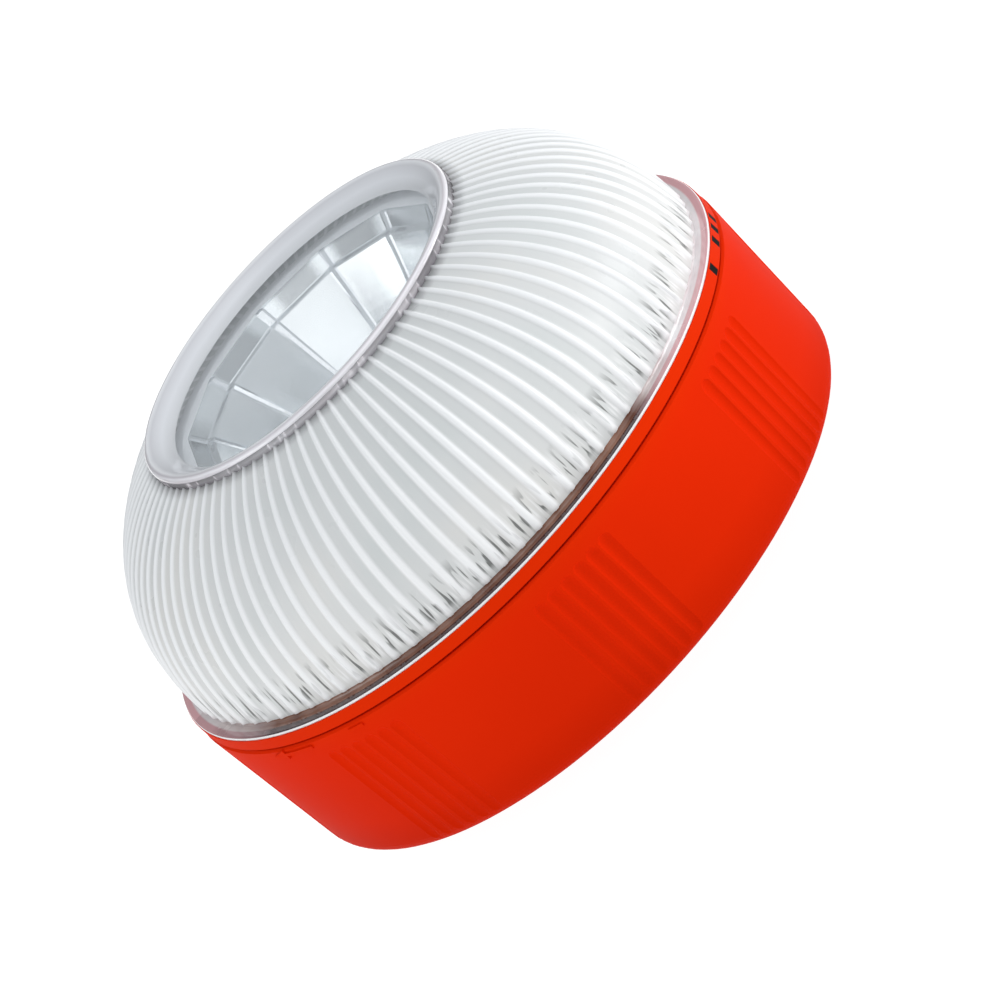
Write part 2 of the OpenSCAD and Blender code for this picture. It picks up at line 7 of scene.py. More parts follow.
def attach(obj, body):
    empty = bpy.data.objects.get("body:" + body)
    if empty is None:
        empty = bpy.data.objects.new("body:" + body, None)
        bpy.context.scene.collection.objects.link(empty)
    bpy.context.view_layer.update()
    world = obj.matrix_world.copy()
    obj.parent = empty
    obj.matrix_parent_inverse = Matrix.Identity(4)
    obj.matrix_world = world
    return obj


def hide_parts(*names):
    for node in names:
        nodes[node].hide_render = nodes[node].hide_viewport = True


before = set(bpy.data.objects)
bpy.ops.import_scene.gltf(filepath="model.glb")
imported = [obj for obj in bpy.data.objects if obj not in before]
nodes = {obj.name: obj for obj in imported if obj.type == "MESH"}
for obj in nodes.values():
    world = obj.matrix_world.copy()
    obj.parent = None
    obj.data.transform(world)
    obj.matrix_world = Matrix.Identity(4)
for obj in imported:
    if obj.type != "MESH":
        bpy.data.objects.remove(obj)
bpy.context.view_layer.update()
MM = 0.001


# ---------------------------------------------------------------- node helpers
class Shader:
    """A material and short calls that add and join its nodes."""

    def __init__(self, name):
        self.m = bpy.data.materials.new(name)
        self.m.use_nodes = True
        self.t = self.m.node_tree
        self.t.nodes.clear()
        self.out = self.add("ShaderNodeOutputMaterial")
        self.p = self.add("ShaderNodeBsdfPrincipled")
        self.join(self.p, "BSDF", self.out, "Surface")
        self.co = self.add("ShaderNodeTexCoord")

    def add(self, kind, **props):
        n = self.t.nodes.new(kind)
        for k, v in props.items():
            setattr(n, k, v)
        return n

    def join(self, a, out, b, inp):
        src = a.outputs[2] if a.bl_idname == "ShaderNodeMix" else a.outputs[out]
        self.t.links.new(src, b.inputs[inp])

    def noise(self, scale, detail=3.0, rough=0.5, stretch=None):
        n = self.add("ShaderNodeTexNoise")
        n.inputs["Scale"].default_value = scale
        n.inputs["Detail"].default_value = detail
        n.inputs["Roughness"].default_value = rough
        if stretch:
            mp = self.add("ShaderNodeMapping")
            mp.inputs["Scale"].default_value = stretch
            self.join(self.co, "Object", mp, "Vector")
            self.join(mp, "Vector", n, "Vector")
        else:
            self.join(self.co, "Object", n, "Vector")
        return n

    def ramp(self, source, out, stops):
        r = self.add("ShaderNodeValToRGB")
        e = r.color_ramp.elements
        while len(e) < len(stops):
            e.new(0.5)
        for el, (pos, col) in zip(e, stops):
            el.position = pos
            el.color = (*col, 1.0)
        self.join(source, out, r, "Fac")
        return r

    def span(self, source, out, lo, hi, a=0.3, b=0.7):
        r = self.add("ShaderNodeMapRange")
        r.inputs["From Min"].default_value = a
        r.inputs["From Max"].default_value = b
        r.inputs["To Min"].default_value = lo
        r.inputs["To Max"].default_value = hi
        self.join(source, out, r, "Value")
        return r

    def bump(self, source, out, strength, distance):
        b = self.add("ShaderNodeBump")
        b.inputs["Strength"].default_value = strength
        b.inputs["Distance"].default_value = distance
        self.join(source, out, b, "Height")
        self.join(b, "Normal", self.p, "Normal")
        return b

    def math(self, op, a, b=None):
        """A maths node; a and b are numbers or (node, output) pairs."""
        n = self.add("ShaderNodeMath", operation=op)
        for i, v in enumerate((a, b)):
            if isinstance(v, tuple):
                self.join(v[0], v[1], n, i)
            elif v is not None:
                n.inputs[i].default_value = v
        return n

    def mix(self, fac, a, b):
        """A colour mix; a and b are (node, output) pairs or plain colours."""
        n = self.add("ShaderNodeMix", data_type="RGBA")
        self.join(fac[0], fac[1], n, 0)
        for i, v in ((6, a), (7, b)):
            if isinstance(v[0], (int, float)):
                n.inputs[i].default_value = (*v, 1.0)
            else:
                src = v[0].outputs[2] if v[0].bl_idname == "ShaderNodeMix" else v[0].outputs[v[1]]
                self.t.links.new(src, n.inputs[i])
        return n

    def set(self, **values):
        for k, v in values.items():
            self.p.inputs[k.replace("_", " ")].default_value = v


def shade(c, f):
    return tuple(min(1.0, x * f) for x in c)


def moulded(name, col, rough=0.35, vary=0.06, grain=900.0, depth=0.00002, bump=0.25, coat=0.0,
            spec=0.5):
    """Moulded plastic or rubber: cloudy colour and a fine grain."""
    s = Shader(name)
    big = s.noise(38.0, 4.0)
    s.join(s.ramp(big, "Fac", [(0.3, shade(col, 1 - vary)), (0.7, shade(col, 1 + vary))]),
           "Color", s.p, "Base Color")
    fine = s.noise(grain, 2.0)
    s.join(s.span(big, "Fac", rough - 0.05, rough + 0.06), "Result", s.p, "Roughness")
    s.bump(fine, "Fac", bump, depth)
    s.set(Specular_IOR_Level=spec)
    if coat:
        s.set(Coat_Weight=coat, Coat_Roughness=0.12)
    return s.m


def metal(name, col, rough=0.25, vary=0.08, stretch=(1, 1, 14), bump=0.08):
    """Brushed or plated metal."""
    s = Shader(name)
    g = s.noise(420.0, 3.0, 0.6, stretch)
    s.join(s.ramp(g, "Fac", [(0.25, shade(col, 1 - vary)), (0.75, shade(col, 1 + vary))]),
           "Color", s.p, "Base Color")
    s.join(s.span(g, "Fac", rough - 0.06, rough + 0.08), "Result", s.p, "Roughness")
    s.bump(g, "Fac", bump, 0.00001)
    s.set(Metallic=1.0)
    return s.m


# ------------------------------------------------------------ special shaders
def polar(s):
    """Object-space angle round the axis, in degrees, and radius and height in mm."""
    sep = s.add("ShaderNodeSeparateXYZ")
    s.join(s.co, "Object", sep, "Vector")
    turn = s.add("ShaderNodeMath", operation="ARCTAN2")
    s.join(sep, "Y", turn, 0)
    s.join(sep, "X", turn, 1)
    ang = s.math("MULTIPLY", (turn, "Value"), 180 / math.pi)
    flat = s.add("ShaderNodeCombineXYZ")
    s.join(sep, "X", flat, "X")
    s.join(sep, "Y", flat, "Y")
    long = s.add("ShaderNodeVectorMath", operation="LENGTH")
    s.join(flat, "Vector", long, "Vector")
    rad = s.math("MULTIPLY", (long, "Value"), 1000.0)
    hgt = s.math("MULTIPLY", (sep, "Z"), 1000.0)
    return (ang, "Value"), (rad, "Value"), (hgt, "Value")


def unrolled(s, ang, hgt, per_deg, per_mm):
    """A vector that runs round the axis and up it, for streaks that follow the ribs."""
    v = s.add("ShaderNodeCombineXYZ")
    a = s.math("MULTIPLY", ang, per_deg)
    h = s.math("MULTIPLY", hgt, per_mm)
    s.join(a, "Value", v, "X")
    s.join(h, "Value", v, "Y")
    return v


def lens_material():
    """Moulded polycarbonate: a frosted white without transmission, with rib crests paler
    partly from the thicker plastic and partly as a painted highlight, and painted dark and
    light dashes just above the foot of the ribs for the inner parts seen through them."""
    s = Shader("clear_lens")
    ang, rad, hgt = polar(s)
    # ribs repeat every 4 degrees, with their crests at multiples of 4
    turn = s.math("ADD", ang, 362.0)
    rem = s.math("MODULO", (turn, "Value"), RIB_PITCH)
    off = s.math("SUBTRACT", (rem, "Value"), RIB_PITCH / 2)
    side = s.math("ABSOLUTE", (off, "Value"))
    # painted highlight on the rib crests, partly the whiter look of the thicker plastic
    crest = s.span(side, "Value", 1.0, 0.0, 0.45, 0.95)
    cloud = s.noise(55.0, 3.0)
    flat = s.ramp(cloud, "Fac", [(0.32, (0.62, 0.64, 0.635)), (0.5, (0.655, 0.665, 0.66)),
                                 (0.68, (0.70, 0.695, 0.675))])
    col = s.mix((crest, "Result"), (flat, "Color"), (0.87, 0.875, 0.88))
    # painted dark and light upright dashes on the flats, standing for inner parts seen through the
    # ribs, strongest 1 to 4 mm above the ribs' foot
    dash = s.add("ShaderNodeTexNoise")
    dash.inputs["Scale"].default_value = 1.0
    dash.inputs["Detail"].default_value = 1.0
    s.join(unrolled(s, ang, hgt, 1.3, 0.2), "Vector", dash, "Vector")
    fall = s.span(hgt[0], hgt[1], 1.0, 0.0, 29.8, 32.4)
    rise = s.span(hgt[0], hgt[1], 0.25, 1.0, 27.7, 28.4)
    low = s.math("MULTIPLY", (fall, "Result"), (rise, "Result"))
    flats = s.span(side, "Value", 0.25, 1.0, 0.5, 1.0)
    where = s.math("MULTIPLY", (low, "Value"), (flats, "Result"))
    dark = s.span(dash, "Fac", 0.0, 0.95, 0.555, 0.6)
    light = s.span(dash, "Fac", 0.8, 0.0, 0.34, 0.46)
    painted_dark_dashes = s.math("MULTIPLY", (dark, "Result"), (where, "Value"))
    painted_light_dashes = s.math("MULTIPLY", (light, "Result"), (where, "Value"))
    col = s.mix((painted_light_dashes, "Value"), (col, "Result"), (0.85, 0.85, 0.85))
    s.join(s.mix((painted_dark_dashes, "Value"), (col, "Result"), (0.16, 0.165, 0.16)), "Result",
           s.p, "Base Color")
    fine = s.noise(260.0, 2.0)
    s.join(s.span(fine, "Fac", 0.26, 0.4), "Result", s.p, "Roughness")
    s.bump(fine, "Fac", 0.12, 0.00003)
    s.set(IOR=1.5, Specular_IOR_Level=0.25)
    return s.m


def milky_material(name, col, trans, rough):
    """Cloudy clear plastic at a moulded edge."""
    s = Shader(name)
    n = s.noise(150.0, 3.0)
    s.join(s.ramp(n, "Fac", [(0.3, shade(col, 0.94)), (0.7, col)]), "Color", s.p, "Base Color")
    s.join(s.span(n, "Fac", rough * 0.7, rough * 1.3), "Result", s.p, "Roughness")
    s.bump(n, "Fac", 0.12, 0.00004)
    s.set(Transmission_Weight=trans, IOR=1.49)
    return s.m


def strip_material():
    """The flange's inner strip over the bead: a painted brown-grey refraction of the orange ring
    and the dark inside, a painted shadow line outside, and a painted pale pink reflection of the
    orange base over two spans of angle."""
    s = Shader("lens_flange_strip")
    ang, rad, hgt = polar(s)
    n = s.noise(240.0, 4.0)
    streak = s.add("ShaderNodeTexNoise")
    streak.inputs["Scale"].default_value = 1.0
    streak.inputs["Detail"].default_value = 2.0
    s.join(unrolled(s, ang, hgt, 0.12, 0.2), "Vector", streak, "Vector")
    # painted refraction: the orange ring and the dark inside seen through the flange as brown-grey
    painted_brown_refraction = s.ramp(streak, "Fac", [(0.35, (0.16, 0.065, 0.042)), (0.65, (0.34, 0.18, 0.125))])
    # painted shadow: a thin dark line in the gap outside
    painted_shadow_line = s.span(rad[0], rad[1], 0.0, 1.0, 38.75, 38.95)
    painted_strip_and_shadow = s.mix((painted_shadow_line, "Result"), (painted_brown_refraction, "Color"), (0.035, 0.006, 0.008))
    # painted pale pink reflection of the orange base, laid on two spans of angle
    painted_pink_reflection = s.ramp(n, "Fac", [(0.3, (0.74, 0.64, 0.65)), (0.7, (0.86, 0.83, 0.83))])
    painted_pink_and_line = s.mix((painted_shadow_line, "Result"), (painted_pink_reflection, "Color"), (0.70, 0.36, 0.38))
    wob = s.span(s.noise(60.0, 3.0), "Fac", -9.0, 9.0)
    a = s.math("ADD", ang, (wob, "Result"))
    right = s.span(a, "Value", 0.0, 1.0, -66.0, -50.0)
    left = s.span(a, "Value", 0.8, 0.0, -170.0, -150.0)
    where = s.math("MAXIMUM", (right, "Result"), (left, "Result"))
    s.join(s.mix((where, "Value"), (painted_strip_and_shadow, "Result"), (painted_pink_and_line, "Result")), "Result", s.p, "Base Color")
    s.join(s.span(n, "Fac", 0.12, 0.3), "Result", s.p, "Roughness")
    s.bump(n, "Fac", 0.15, 0.00003)
    s.set(Coat_Weight=0.6, Coat_Roughness=0.06)
    return s.m


def lip_material():
    """The window's raised rim: a painted white highlight at the crest, painted grey shade down
    the outer wall with a painted shadow at its foot, and softly frosted on the long bevel inside."""
    s = Shader("window_lip")
    ang, rad, hgt = polar(s)
    n = s.noise(70.0, 3.0)
    wave = s.span(n, "Fac", -0.12, 0.12)
    r = s.math("ADD", rad, (wave, "Result"))
    across = s.span(r, "Value", 0.0, 1.0, 19.6, 22.9)
    # painted light across the radius: a white highlight at the crest, grey shade bands down the
    # outer wall
    painted_light_bands = s.ramp(across, "Result", [
        (0.0, (0.70, 0.71, 0.73)), (0.30, (0.84, 0.85, 0.88)), (0.62, (0.74, 0.74, 0.77)),
        (0.76, (0.98, 0.98, 1.0)), (0.86, (0.62, 0.58, 0.61)), (0.93, (0.92, 0.90, 0.93)),
        (1.0, (0.58, 0.54, 0.57))])
    # painted shadow at the foot of the outer wall, where it meets the lens
    painted_foot_shadow = s.span(hgt[0], hgt[1], 0.75, 0.0, 48.55, 49.0)
    outer = s.span(r, "Value", 0.0, 1.0, 22.5, 22.7)
    low = s.math("MULTIPLY", (painted_foot_shadow, "Result"), (outer, "Result"))
    s.join(s.mix((low, "Value"), (painted_light_bands, "Color"), (0.22, 0.20, 0.22)), "Result", s.p, "Base Color")
    s.join(s.span(n, "Fac", 0.08, 0.2), "Result", s.p, "Roughness")
    s.bump(n, "Fac", 0.15, 0.0001)
    s.set(Transmission_Weight=0.1, IOR=1.49, Coat_Weight=0.5, Coat_Roughness=0.05)
    return s.m


def cell_material():
    """A printed sleeve: a gold band at one end and a dark body, with a bright steel cap."""
    s = Shader("cell_sleeve")
    sep = s.add("ShaderNodeSeparateXYZ")
    s.join(s.co, "Object", sep, "Vector")
    r = s.ramp(s.span(sep, "X", 0.0, 1.0, -0.0225, 0.0225), "Result",
               [(0.0, (0.62, 0.62, 0.6)), (0.03, (0.03, 0.03, 0.035)), (0.7, (0.03, 0.03, 0.035)),
                (0.72, (0.70, 0.42, 0.08)), (0.97, (0.70, 0.42, 0.08)), (0.99, (0.62, 0.62, 0.6))])
    s.join(r, "Color", s.p, "Base Color")
    n = s.noise(500.0, 3.0)
    s.join(s.span(n, "Fac", 0.2, 0.36), "Result", s.p, "Roughness")
    s.set(Metallic=0.55)
    return s.m


def mirror_material():
    """Vacuum metallised plastic: a bright mirror with slight moulding waves."""
    s = Shader("reflector_metal")
    n = s.noise(130.0, 3.0)
    s.join(s.ramp(n, "Fac", [(0.3, (0.80, 0.83, 0.86)), (0.7, (0.93, 0.95, 0.97))]),
           "Color", s.p, "Base Color")
    s.join(s.span(n, "Fac", 0.10, 0.2), "Result", s.p, "Roughness")
    s.bump(n, "Fac", 0.2, 0.00012)
    s.set(Metallic=1.0)
    return s.m


def facet_material(name, painted_reflection_tones, painted_shine_from, painted_shine_to):
    """The metallised facets of one tier, with painted reflections: a tone painted round the bowl
    by angle for each facet, and a painted white sheen between two radii."""
    s = Shader(name)
    ang, rad, hgt = polar(s)
    n = s.noise(95.0, 3.0)
    wave = s.span(n, "Fac", -2.5, 2.5)
    a = s.math("ADD", ang, (wave, "Result"))
    turn = s.math("ADD", (a, "Value"), 360.0)
    full = s.math("MODULO", (turn, "Value"), 360.0)
    frac = s.math("DIVIDE", (full, "Value"), 360.0)
    # painted reflections: each facet's tone set by its angle round the bowl
    r = s.ramp(frac, "Value", [(d / 360.0, (t * 0.95, t * 0.985, t)) for d, t in painted_reflection_tones])
    shake = s.span(s.noise(60.0, 2.0), "Fac", -1.6, 1.6)
    rr = s.math("ADD", rad, (shake, "Result"))
    # painted highlight: a white sheen between the two radii
    white = s.span(rr, "Value", 0.0, 0.85, painted_shine_from, painted_shine_to)
    s.join(s.mix((white, "Result"), (r, "Color"), (0.97, 0.99, 1.0)), "Result", s.p, "Base Color")
    s.join(s.span(n, "Fac", 0.1, 0.24), "Result", s.p, "Roughness")
    s.bump(s.noise(38.0, 2.0), "Fac", 0.3, 0.00012)
    s.set(Metallic=1.0)
    return s.m


def shell_material():
    """Orange-red ABS with a fine spark texture; painted shade darkens the colour towards the foot
    and a painted highlight pales the band at the top.
    """
    s = Shader("shell_orange")
    ang, rad, hgt = polar(s)
    big = s.noise(38.0, 4.0)
    cloud = s.ramp(big, "Fac", [(0.3, (0.69, 0.0185, 0.0006)), (0.7, (0.725, 0.0205, 0.0006))])
    # painted shade and highlight by height: darker towards the foot, paler green in the top band
    up = s.span(hgt[0], hgt[1], 0.0, 1.0, 4.5, 27.0)
    painted_shade_and_highlight = s.ramp(up, "Result", [(0.0, (0.76, 0.70, 0.6)), (0.28, (0.92, 0.90, 0.86)),
                                 (0.8, (1.0, 1.0, 1.0)), (0.93, (1.0, 1.25, 1.0))])
    both = s.add("ShaderNodeMix", data_type="RGBA", blend_type="MULTIPLY")
    both.inputs[0].default_value = 1.0
    s.join(cloud, "Color", both, 6)
    s.join(painted_shade_and_highlight, "Color", both, 7)
    s.join(both, "Result", s.p, "Base Color")
    s.join(s.span(big, "Fac", 0.5, 0.6), "Result", s.p, "Roughness")
    s.bump(s.noise(700.0, 2.0), "Fac", 0.2, 0.00001)
    s.set(Specular_IOR_Level=0.012)
    return s.m


def thin_glass(name, tint, alpha, rough=0.03):
    """A thin clear sheet: mostly see-through, with its own gloss and a faint milkiness."""
    s = Shader(name)
    n = s.noise(170.0, 2.0)
    s.join(s.ramp(n, "Fac", [(0.3, shade(tint, 0.97)), (0.7, tint)]), "Color", s.p, "Base Color")
    s.join(s.span(n, "Fac", rough * 0.7, rough * 1.5), "Result", s.p, "Roughness")
    s.bump(n, "Fac", 0.08, 0.00001)
    s.set(Alpha=alpha, IOR=1.49, Specular_IOR_Level=0.8)
    return s.m


# ---------------------------------------------------------------- materials
RIB_PITCH = 4.0
M = {
    "orange": shell_material(),
    "black": moulded("black_plastic", (0.022, 0.022, 0.024), 0.45, 0.2),
    "rubber": moulded("black_rubber", (0.016, 0.016, 0.017), 0.65, 0.25, 500.0, 0.00004, 0.4),
    "button": moulded("button_orange", (0.72, 0.022, 0.001), 0.5, 0.05, 600.0, 0.00003, 0.3,
                      spec=0.12),
    "grey_black": moulded("switch_plastic", (0.045, 0.045, 0.05), 0.4, 0.2),
    "green": moulded("green_board", (0.01, 0.13, 0.05), 0.28, 0.15, 300.0, 0.00003, 0.3, 0.4),
    "white": moulded("white_plastic", (0.82, 0.82, 0.80), 0.4, 0.03),
    "white_board": moulded("white_board", (0.80, 0.81, 0.79), 0.3, 0.03, 260.0, 0.00002, 0.3, 0.3),
    "tray": moulded("tray_plastic", (0.035, 0.035, 0.038), 0.5, 0.2),
    "zinc": metal("zinc_screw", (0.66, 0.66, 0.65), 0.28),
    "nickel": metal("nickel", (0.72, 0.69, 0.62), 0.22),
    "magnet": metal("magnet", (0.58, 0.58, 0.59), 0.2),
    "brass": metal("contact_brass", (0.83, 0.6, 0.22), 0.22),
    "red": moulded("wire_red", (0.6, 0.012, 0.012), 0.4, 0.08),
    "yellow": moulded("wire_yellow", (0.78, 0.5, 0.02), 0.4, 0.08),
    "wire_black": moulded("wire_black", (0.02, 0.02, 0.02), 0.4, 0.2),
    "mark": moulded("mark_black", (0.004, 0.004, 0.004), 0.7, 0.2, spec=0.08),
    "ferrite": moulded("ferrite", (0.06, 0.06, 0.065), 0.55, 0.25),
    "tan": moulded("ceramic_tan", (0.42, 0.28, 0.16), 0.4, 0.15),
    "led": moulded("led_phosphor", (0.85, 0.62, 0.16), 0.32, 0.12, 2600.0, 0.00002, 0.3),
    "torch": moulded("torch_phosphor", (0.88, 0.82, 0.30), 0.32, 0.12, 2600.0, 0.00002, 0.3),
    "bead": moulded("bead_rubber", (0.05, 0.018, 0.012), 0.5, 0.25, 500.0, 0.00003, 0.3),
    "seal": moulded("seal_rubber", (0.50, 0.022, 0.003), 0.6, 0.2, 500.0, 0.00003, 0.3),
    "cell": cell_material(),
    "mirror": mirror_material(),
    # painted reflection tones by angle for each tier, then the radii of its painted white sheen
    "tier_low": facet_material("reflector_lower_tier", [
        (0, 0.84), (34, 1.0), (46, 1.0), (52, 0.80), (62, 0.68), (66, 0.80), (72, 0.96), (92, 0.98),
        (99, 1.0), (104, 0.86), (118, 0.80), (123, 1.0), (132, 1.0), (136, 0.96), (154, 0.96),
        (186, 0.50), (206, 0.58), (214, 1.0), (232, 0.72), (246, 0.80), (252, 0.46), (272, 0.52),
        (278, 1.0), (296, 0.80), (308, 0.70), (314, 0.48), (334, 0.56), (340, 0.95)], 14.2, 16.6),
    "tier_high": facet_material("reflector_upper_tier", [
        (0, 0.92), (32, 1.0), (38, 0.96), (43, 0.36), (60, 0.40), (64, 1.0), (71, 1.0), (75, 0.46),
        (88, 0.50), (92, 1.0), (102, 1.0), (107, 0.50), (124, 0.52), (129, 1.0), (142, 1.0),
        (150, 0.62), (186, 0.66),
        (190, 0.90), (220, 0.84), (226, 0.50), (250, 0.55), (254, 0.95), (284, 0.80), (290, 0.46),
        (316, 0.52), (322, 0.92)], 18.9, 20.2),
    "lens": lens_material(),
    "flange": strip_material(),
    "flange_edge": milky_material("lens_flange_edge", (0.95, 0.955, 0.95), 0.1, 0.3),
    "window": thin_glass("clear_window", (0.90, 0.95, 0.98), 0.2),
    "frost": moulded("frosted_rim", (0.93, 0.94, 0.96), 0.35, 0.04, 300.0, 0.00003, 0.2),
    "lip": lip_material(),
}

LOOK = {
    "base_shell": "orange", "magnet_holder": "black", "ring_magnet": "magnet",
    "rubber_pad": "rubber", "foot_screws": "zinc", "power_button": "button",
    "switch_plunger": "black", "switch_housing": "grey_black", "switch_board": "green",
    "switch_screws": "zinc", "battery_tray": "tray", "tray_screws": "zinc",
    "battery_cells": "cell", "cell_contacts": "nickel", "cell_springs": "nickel",
    "contact_arc_positive": "brass", "contact_arc_negative": "brass",
    "lead_battery": "red", "lead_switched": "yellow", "lead_negative": "wire_black",
    "rim_ring": "orange", "index_marks": "mark", "rim_gasket": "seal",
    "lens_gasket": "bead", "lens": "lens", "window": "window", "led_deck": "white",
    "deck_screws": "zinc", "contact_pins": "brass", "led_board": "white_board",
    "led_resistors": "black", "amber_leds": "led", "driver_chip": "black",
    "inductor": "ferrite", "capacitors": "tan",
    "reflector": "mirror", "reflector_screws": "zinc", "torch_led": "torch",
}
for name, look in LOOK.items():
    if name not in nodes:
        continue
    ob = nodes[name]
    ob.data.materials.clear()
    ob.data.materials.append(M[look])


# ---------------------------------------------------------------- mesh helpers
def piece(name, verts, faces, mats, body, pick=None, smooth=True):
    """A closed mesh in mm, joined to a body; pick gives each face's material."""
    me = bpy.data.meshes.new(name)
    me.from_pydata([(x * MM, y * MM, z * MM) for x, y, z in verts], [], faces)
    for m in mats:
        me.materials.append(M[m])
    for i, p in enumerate(me.polygons):
        p.use_smooth = smooth
        if pick:
            p.material_index = pick(i, p.center / MM)
    me.validate()
    ob = bpy.data.objects.new(name, me)
    bpy.context.scene.collection.objects.link(ob)
    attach(ob, body)
    return ob


def loft(rows, columns, closed_profile=True):
    """Faces between rows of the same number of points, each row a closed loop."""
    faces = []
    last = len(rows) if closed_profile else len(rows) - 1
    for i in range(last):
        a, b = i * columns, ((i + 1) % len(rows)) * columns
        for j in range(columns):
            k = (j + 1) % columns
            faces.append((a + j, a + k, b + k, b + j))
    return faces


# ------------------------------------------------------------- ribbed lens
WINDOW_R, LENS_R, RIB_H, LENS_TOP = 22.8, 38.4, 0.3, 49.95
Z_CURVE, CROWN_R, CURVE_N, CURVE_M = 25.63, 17.6, 2.728, 1.547
FLANGE_R, Z_FLANGE, Z_RIB = 39.8, 26.3, 27.2
SPIGOT_R, BORE_R, Z_SPIGOT = 36.4, 35.2, 25.3
LENS_T, RIB_N, RIB_HALF = 1.8, 90, 0.95
Z_SEAT, SEAT_W, SEAT_T = 46.9, 1.7, 0.8
Z_WINDOW, WINDOW_T, LIP_W, CREST_R = 47.0, 1.2, 3, 0.6


def curve_point(s, wide, top):
    r = CROWN_R + (wide - CROWN_R) * (1 - s ** CURVE_N) ** (1 / CURVE_M)
    return r, Z_CURVE + (top - Z_CURVE) * s


def curve_rows(wide, top, z_from, r_to, steps):
    s0 = (z_from - Z_CURVE) / (top - Z_CURVE)
    s1 = (1 - ((r_to - CROWN_R) / (wide - CROWN_R)) ** CURVE_M) ** (1 / CURVE_N)
    return [curve_point(s0 + (s1 - s0) * i / steps, wide, top) for i in range(steps + 1)]


def rib_weight(deg):
    """Height of the rib profile, 1 on the crest and 0 on the flats between."""
    off = abs((deg + RIB_PITCH / 2) % RIB_PITCH - RIB_PITCH / 2)
    if off >= RIB_HALF:
        return 0.0
    return 0.5 + 0.5 * math.cos(math.pi * off / RIB_HALF)


def revolve(profile, angles):
    """One closed row of points round the axis for each (radius, height)."""
    return [[(r * math.cos(a), r * math.sin(a), z) for a in angles] for r, z in profile]


def build_lens():
    columns = RIB_N * 10
    angles = [math.radians(360 * j / columns) for j in range(columns)]
    weights = [rib_weight(360 * j / columns) for j in range(columns)]
    steps = 40
    base = curve_rows(LENS_R - RIB_H, LENS_TOP - RIB_H, Z_RIB, WINDOW_R + 0.05, steps)
    crest = curve_rows(LENS_R, LENS_TOP, Z_RIB + 0.1, WINDOW_R + 0.05, steps)
    inner = curve_rows(LENS_R - RIB_H - LENS_T, LENS_TOP - RIB_H - LENS_T, Z_RIB + 0.6,
                       WINDOW_R + 0.6, 24)
    flange_top = Z_FLANGE + 0.4
    rows = revolve([
        (SPIGOT_R, Z_SPIGOT), (SPIGOT_R, Z_FLANGE + 0.02), (FLANGE_R, Z_FLANGE + 0.02),
        (FLANGE_R, Z_FLANGE + 0.2), (FLANGE_R - 0.06, Z_FLANGE + 0.32),
        (FLANGE_R - 0.18, Z_FLANGE + 0.39), (39.45, flange_top), (38.9, flange_top),
        (38.3, flange_top), (38.06, Z_FLANGE + 0.46), (base[0][0], base[0][1] - 0.08)], angles)
    for (r0, z0), (r1, z1) in zip(base, crest):
        rows.append([((r0 + (r1 - r0) * w) * math.cos(a), (r0 + (r1 - r0) * w) * math.sin(a),
                      z0 + (z1 - z0) * w) for a, w in zip(angles, weights)])
    rows += revolve([
        (WINDOW_R + 0.05, Z_SEAT), (WINDOW_R - SEAT_W, Z_SEAT),
        (WINDOW_R - SEAT_W, Z_SEAT - SEAT_T), (WINDOW_R + 0.2, Z_SEAT - SEAT_T),
        *inner[::-1], (BORE_R, flange_top), (BORE_R, Z_SPIGOT)], angles)
    verts = [v for row in rows for v in row]

    def pick(i, c):
        r = math.hypot(c.x, c.y)
        if c.z > Z_RIB - 0.02 or r < 37.9:
            return 0
        return 2 if r > 39.7 and c.z < Z_FLANGE + 0.3 else 1

    ob = piece("ribbed_lens", verts, loft(rows, columns), ["lens", "flange", "flange_edge"],
               "head", pick)
    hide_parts("lens")


def build_window():
    columns = 180
    angles = [math.radians(360 * j / columns) for j in range(columns)]
    z0, z1, lip_in = Z_WINDOW, Z_WINDOW + WINDOW_T, WINDOW_R - LIP_W
    prof = [(0.4, z0), (lip_in - 1.0, z0), (WINDOW_R - 0.02, z0), (WINDOW_R, 48.0),
            (WINDOW_R, 49.4)]
    for i in range(8):
        a = math.radians(i * 15)
        prof.append((WINDOW_R - CREST_R + CREST_R * math.cos(a), 49.38 + math.sin(a) * CREST_R))
    prof += [(21.35, 49.66), (20.7, 49.2), (20.2, 48.78), (lip_in, 48.46),
             (lip_in - 0.15, z1 + 0.08), (lip_in - 0.35, z1), (lip_in - 1.0, z1),
             (10.0, z1 - 0.01), (0.4, z1 - 0.01)]
    rows = revolve(prof, angles)
    verts = [v for row in rows for v in row]
    faces = loft(rows, columns, False)
    last = (len(rows) - 1) * columns
    faces.append(tuple(range(columns - 1, -1, -1)))
    faces.append(tuple(last + j for j in range(columns)))

    def pick(i, c):
        return 1 if math.hypot(c.x, c.y) > lip_in - 0.3 and c.z > z0 + 0.1 else 0

    ob = piece("window_glass", verts, faces, ["window", "lip"], "head",
               pick)
    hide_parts("window")


# ------------------------------------------------------ faceted reflector skin
REFL_R, Z_REFL, SECTORS, PHASE = 19.3, 46.6, 12, 66.0


